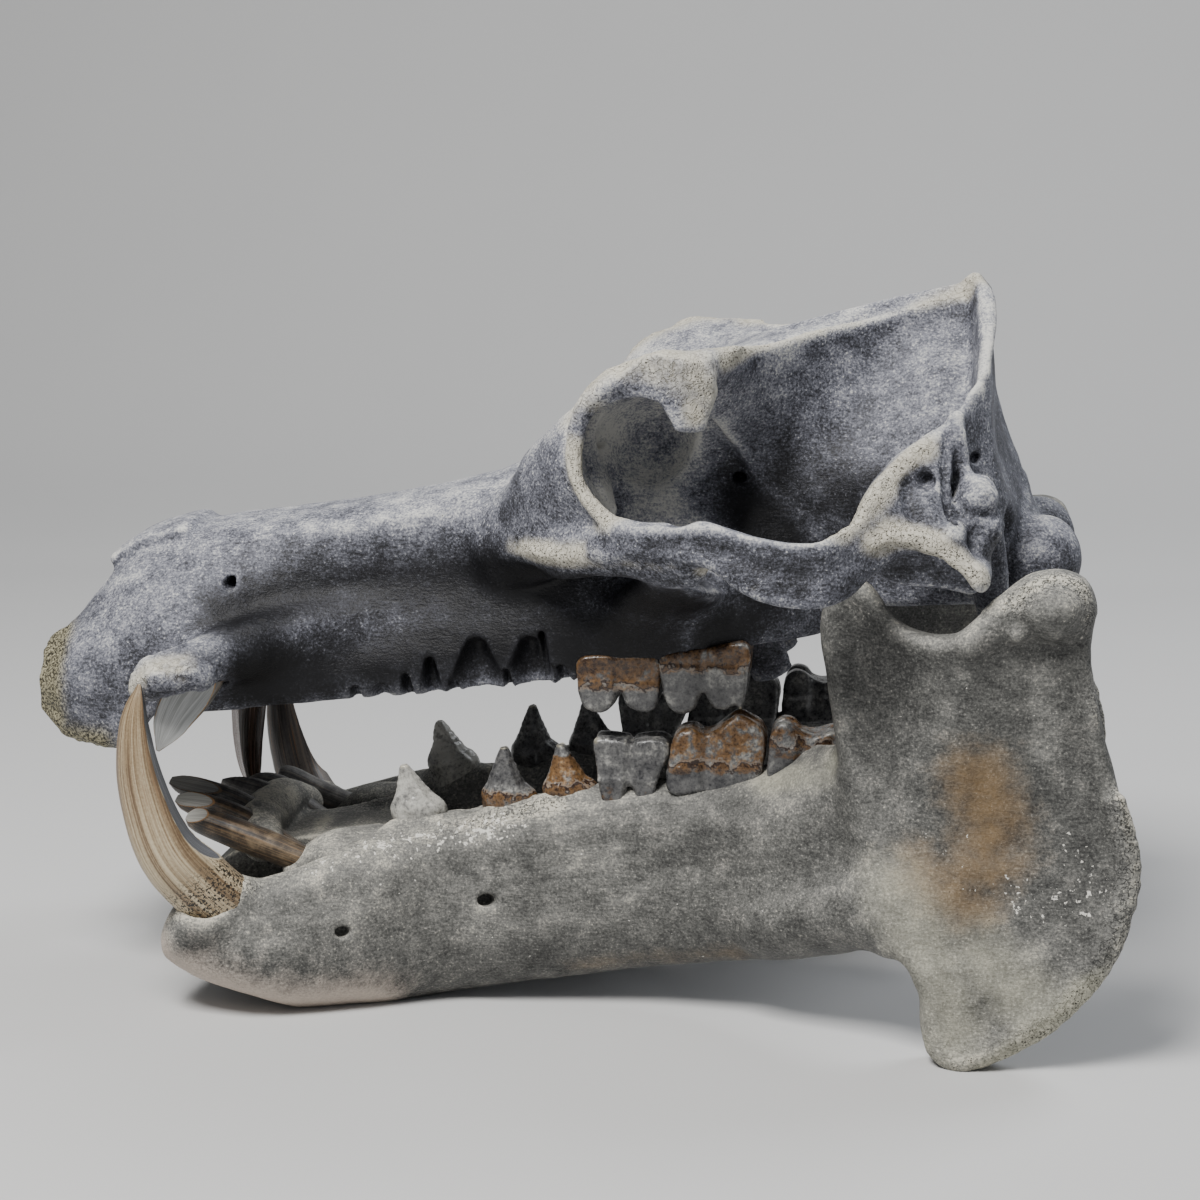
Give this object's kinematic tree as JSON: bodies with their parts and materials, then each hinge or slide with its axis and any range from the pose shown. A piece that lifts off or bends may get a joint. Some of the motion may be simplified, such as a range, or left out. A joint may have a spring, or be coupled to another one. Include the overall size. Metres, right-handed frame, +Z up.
{
  "type": "fossil hippopotamus skull",
  "caption": "Mineralised hippopotamus skull with its lower jaw, long snout, high eye sockets, cheek arches, curved tusks and worn cheek teeth, standing on its chin and jaw angles.",
  "frame": {"origin": "on the floor, under the middle of the skull's box", "axes": "+Z up, -X towards the snout, the animal's left side to -Y"},
  "size_m": [0.622, 0.3558, 0.4197],
  "materials": {
    "cranium_bone": "matt mineralised bone, dark blue-grey with pale dusting on its ridges",
    "jaw_bone": "matt mineralised bone, olive grey with ochre stains and pale rims",
    "tusk_ivory": "polished mineralised ivory, tan with brown streaks",
    "dark_ivory": "polished mineralised ivory, dark brown"
  },
  "bodies": {
    "root": {"rostrum": "cranium_bone", "face": "cranium_bone", "braincase": "cranium_bone", "occiput": "cranium_bone", "cheek_arch_left": "cranium_bone", "cheek_arch_right": "cranium_bone", "chin": "jaw_bone", "jaw_left": "jaw_bone", "jaw_right": "jaw_bone", "ramus_left": "jaw_bone", "ramus_right": "jaw_bone", "lower_tusk_left": "tusk_ivory", "lower_tusk_right": "tusk_ivory", "upper_tusk_left": "tusk_ivory", "upper_tusk_right": "dark_ivory", "incisor_first_left": "tusk_ivory", "incisor_first_right": "tusk_ivory", "incisor_second_left": "tusk_ivory", "incisor_second_right": "tusk_ivory", "incisor_third_left": "tusk_ivory", "incisor_third_right": "tusk_ivory"}
  },
  "joints": []
}
